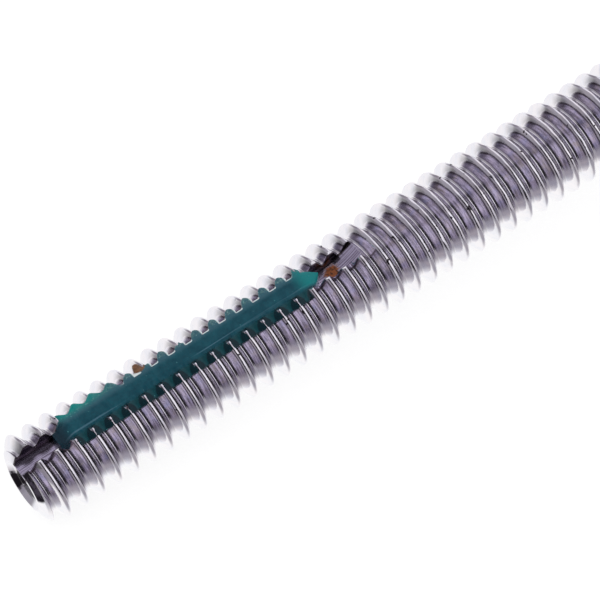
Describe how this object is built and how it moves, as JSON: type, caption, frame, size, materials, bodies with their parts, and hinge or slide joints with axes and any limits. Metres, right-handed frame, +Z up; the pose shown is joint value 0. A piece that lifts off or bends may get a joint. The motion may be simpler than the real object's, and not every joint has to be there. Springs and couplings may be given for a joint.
{
  "type": "tension rod",
  "caption": "Chrome-plated threaded tension rod with a square key head, a round collar and a nylon locking strip pressed into a slot along the thread.",
  "frame": {"origin": "middle of the bounding box, on the surface that the rod lies on", "axes": "+X from the threaded tip to the square head, +Z up and out of the slot; the rod's axis rises about 2.4 degrees from tip to head"},
  "size_m": [0.0606, 0.0094, 0.0095],
  "materials": {
    "chrome_plate": "bright chrome plate over rolled steel, slightly worn",
    "nylon": "semi-gloss translucent nylon, scuffed along its edges"
  },
  "bodies": {
    "root": {"rod": "chrome_plate", "locking_strip": "nylon"}
  },
  "joints": []
}
